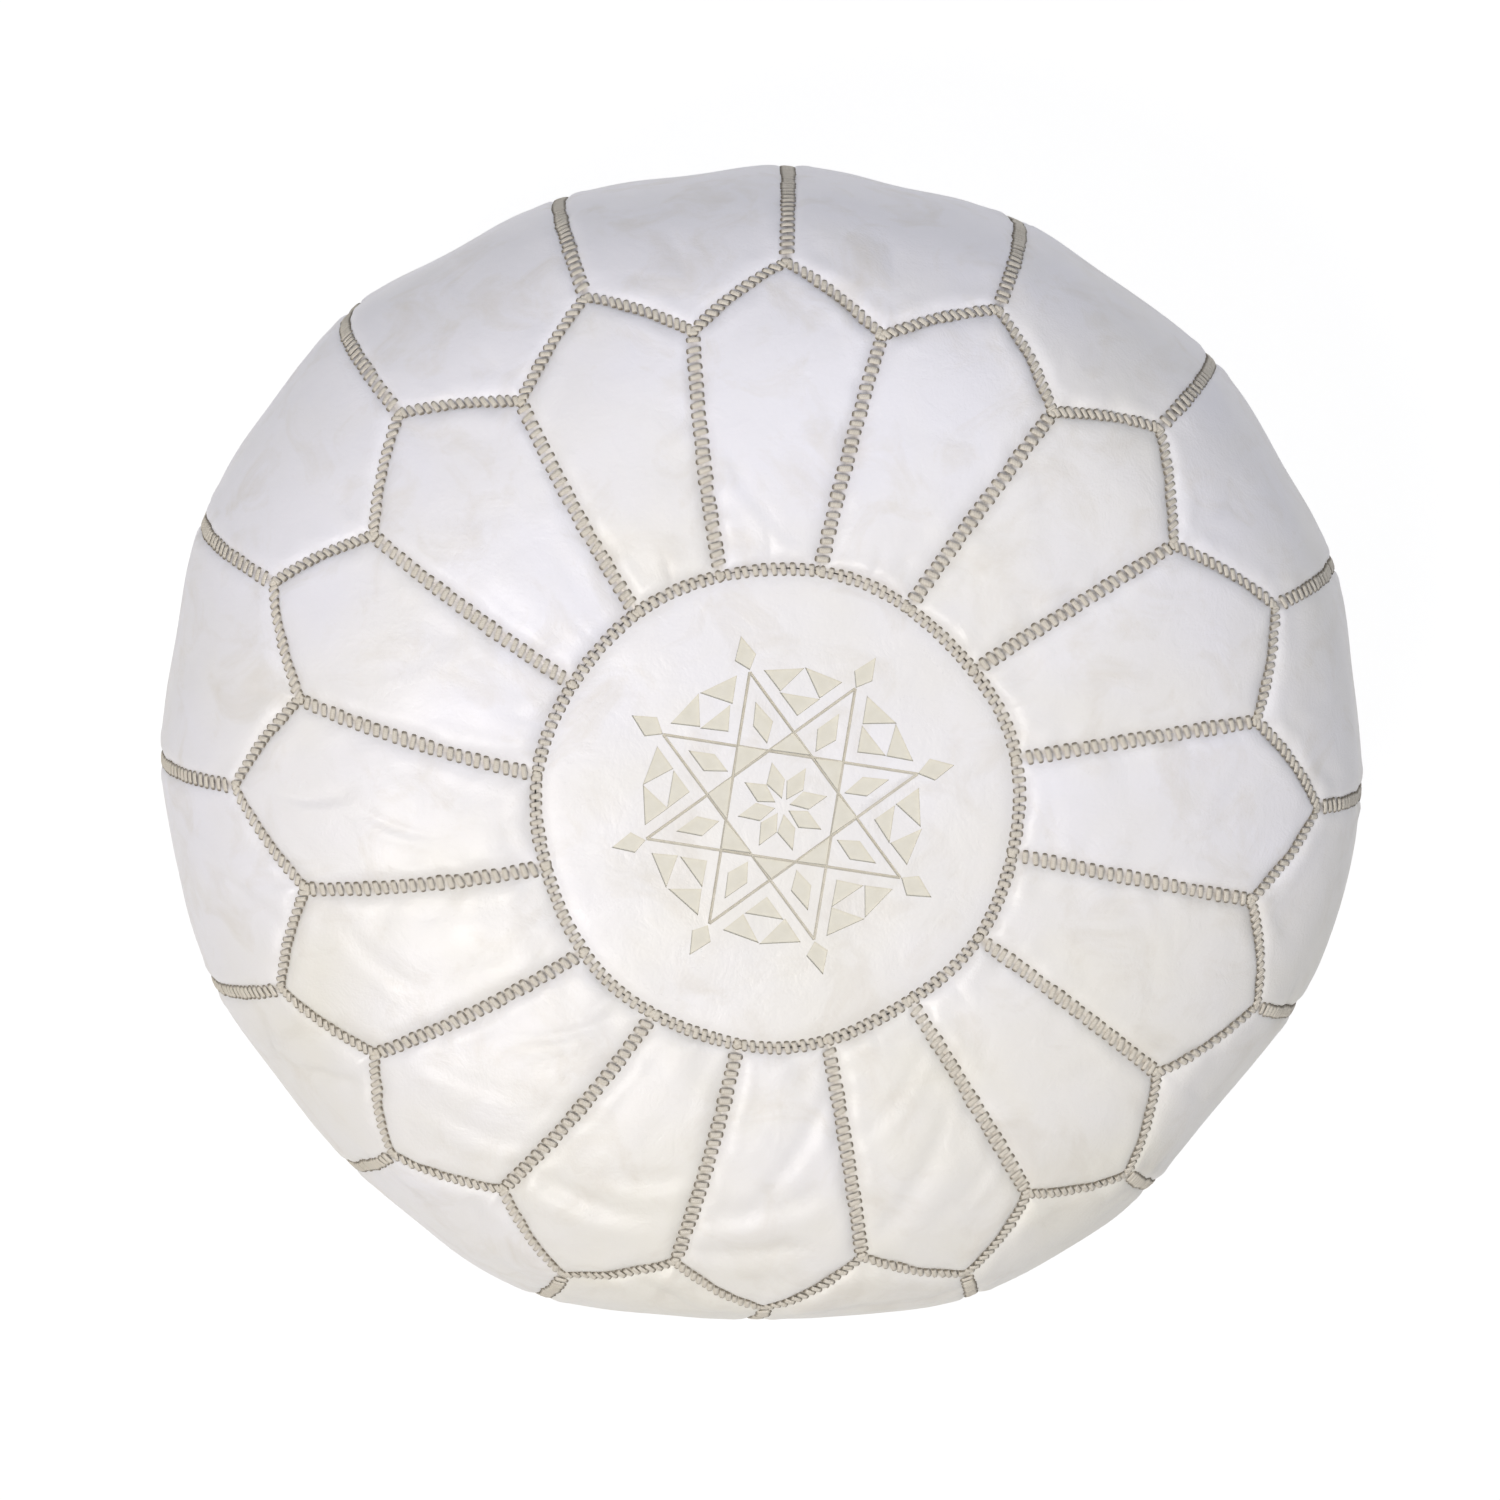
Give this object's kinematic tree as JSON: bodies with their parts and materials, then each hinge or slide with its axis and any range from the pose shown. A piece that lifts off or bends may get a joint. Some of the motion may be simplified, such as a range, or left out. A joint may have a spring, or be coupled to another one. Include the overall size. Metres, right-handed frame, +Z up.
{
  "type": "leather pouf",
  "caption": "Round stuffed floor pouf of white hand-stitched leather panels, with an eight-pointed star cut in the top medallion and a zip in the base.",
  "frame": {"origin": "on the floor, under the middle of the base", "axes": "+Z up out of the top medallion; +Y towards the tip of petal_01; the zip in the base lies along X and closes at +X"},
  "size_m": [0.5482, 0.5411, 0.3412],
  "materials": {
    "white_leather": "soft white goat leather, satin",
    "beige_suede": "beige suede, matte",
    "seam_thread": "taupe waxed cotton thread, matte",
    "liner_cotton": "plain unbleached cotton, matte",
    "cotton_filling": "cotton filling, matte",
    "zip_tape": "woven beige tape, matte",
    "zip_metal": "brass, satin"
  },
  "bodies": {
    "pouf": {"top_medallion": "white_leather", "medallion_suede": "beige_suede", "petal_01": "white_leather", "petal_02": "white_leather", "petal_03": "white_leather", "petal_04": "white_leather", "petal_05": "white_leather", "petal_06": "white_leather", "petal_07": "white_leather", "petal_08": "white_leather", "petal_09": "white_leather", "petal_10": "white_leather", "petal_11": "white_leather", "petal_12": "white_leather", "petal_13": "white_leather", "petal_14": "white_leather", "petal_15": "white_leather", "petal_16": "white_leather", "side_panel_01": "white_leather", "side_panel_02": "white_leather", "side_panel_03": "white_leather", "side_panel_04": "white_leather", "side_panel_05": "white_leather", "side_panel_06": "white_leather", "side_panel_07": "white_leather", "side_panel_08": "white_leather", "side_panel_09": "white_leather", "side_panel_10": "white_leather", "side_panel_11": "white_leather", "side_panel_12": "white_leather", "side_panel_13": "white_leather", "side_panel_14": "white_leather", "side_panel_15": "white_leather", "side_panel_16": "white_leather", "base_panel_back": "white_leather", "base_panel_front": "white_leather", "petal_stitching": "seam_thread", "side_stitching": "seam_thread", "base_stitching": "seam_thread", "zip_tape_back": "zip_tape", "zip_tape_front": "zip_tape", "zip_teeth_back": "zip_metal", "zip_teeth_front": "zip_metal", "zip_top_stop_back": "zip_metal", "zip_top_stop_front": "zip_metal", "zip_bottom_stop": "zip_metal", "inner_liner": "liner_cotton", "filling": "cotton_filling"},
    "zip_slider": {"zip_slider": "zip_metal"},
    "zip_pull": {"zip_pull": "zip_metal"}
  },
  "joints": [
    {"name": "zip_slide", "type": "slide", "parent": "pouf", "child": "zip_slider", "axis": [-1, 0, 0], "range_m": [0, 0.299]},
    {"name": "pull_swing", "type": "hinge", "parent": "zip_slider", "child": "zip_pull", "pos_m": [0.14949, 0, 0.0062], "axis": [0, -1, 0], "range_deg": [0, 180]}
  ]
}
